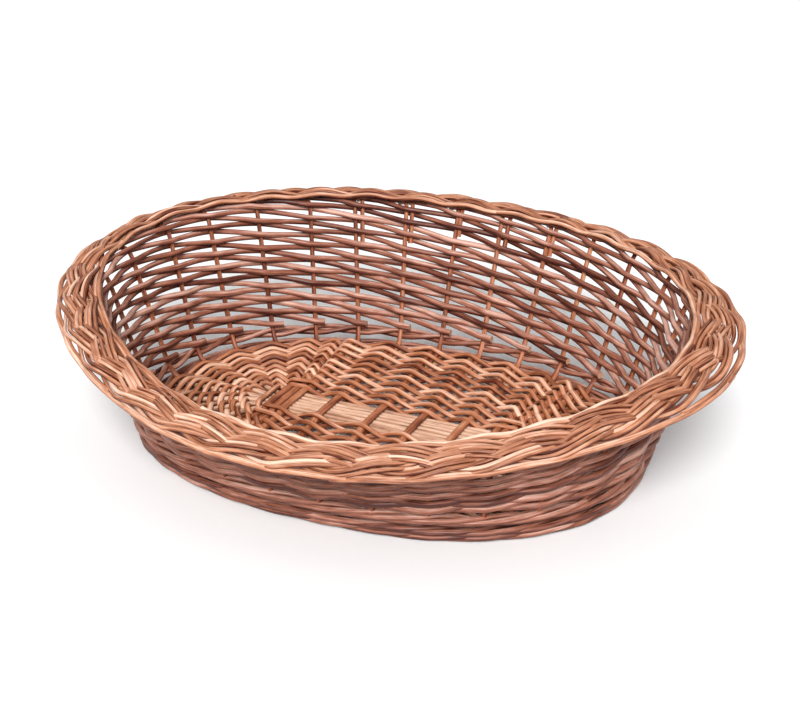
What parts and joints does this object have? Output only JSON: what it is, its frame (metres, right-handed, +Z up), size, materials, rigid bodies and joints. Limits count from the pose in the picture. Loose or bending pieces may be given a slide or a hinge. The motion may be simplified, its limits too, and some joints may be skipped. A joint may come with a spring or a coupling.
{
  "type": "wicker pet bed basket",
  "caption": "Low oval willow pet basket with a stick-and-weave floor, a flared woven wall that is higher at the back, and a wide plaited border.",
  "frame": {"origin": "middle of the basket's outline, at the ground", "axes": "+X along the basket, +Y towards the high back, +Z up"},
  "size_m": [0.6952, 0.5734, 0.1852],
  "materials": {
    "pale_willow": "pale peeled willow rod, satin",
    "brown_willow": "buff willow rod, satin",
    "floor_willow": "buff willow weave, satin",
    "wall_willow": "darker buff willow weave, satin",
    "border_willow": "light buff willow plait, satin"
  },
  "bodies": {
    "root": {"base_stick_cross_1": "brown_willow", "base_stick_cross_10": "brown_willow", "base_stick_cross_2": "brown_willow", "base_stick_cross_3": "brown_willow", "base_stick_cross_4": "brown_willow", "base_stick_cross_5": "brown_willow", "base_stick_cross_6": "brown_willow", "base_stick_cross_7": "brown_willow", "base_stick_cross_8": "brown_willow", "base_stick_cross_9": "brown_willow", "base_stick_long_1": "pale_willow", "base_stick_long_2": "pale_willow", "base_stick_long_3": "pale_willow", "base_stick_long_4": "pale_willow", "base_stick_long_5": "pale_willow", "base_stick_long_6": "pale_willow", "base_stick_long_7": "pale_willow", "base_weave": "floor_willow", "border": "border_willow", "side_weave": "wall_willow", "stake_01": "brown_willow", "stake_02": "brown_willow", "stake_03": "brown_willow", "stake_04": "brown_willow", "stake_05": "brown_willow", "stake_06": "brown_willow", "stake_07": "brown_willow", "stake_08": "brown_willow", "stake_09": "brown_willow", "stake_10": "brown_willow", "stake_11": "brown_willow", "stake_12": "brown_willow", "stake_13": "brown_willow", "stake_14": "brown_willow", "stake_15": "brown_willow", "stake_16": "brown_willow", "stake_17": "brown_willow", "stake_18": "brown_willow", "stake_19": "brown_willow", "stake_20": "brown_willow", "stake_21": "brown_willow", "stake_22": "brown_willow", "stake_23": "brown_willow", "stake_24": "brown_willow", "stake_25": "brown_willow", "stake_26": "brown_willow", "stake_27": "brown_willow", "stake_28": "brown_willow", "stake_29": "brown_willow", "stake_30": "brown_willow", "upsett_wale": "wall_willow"}
  },
  "joints": []
}
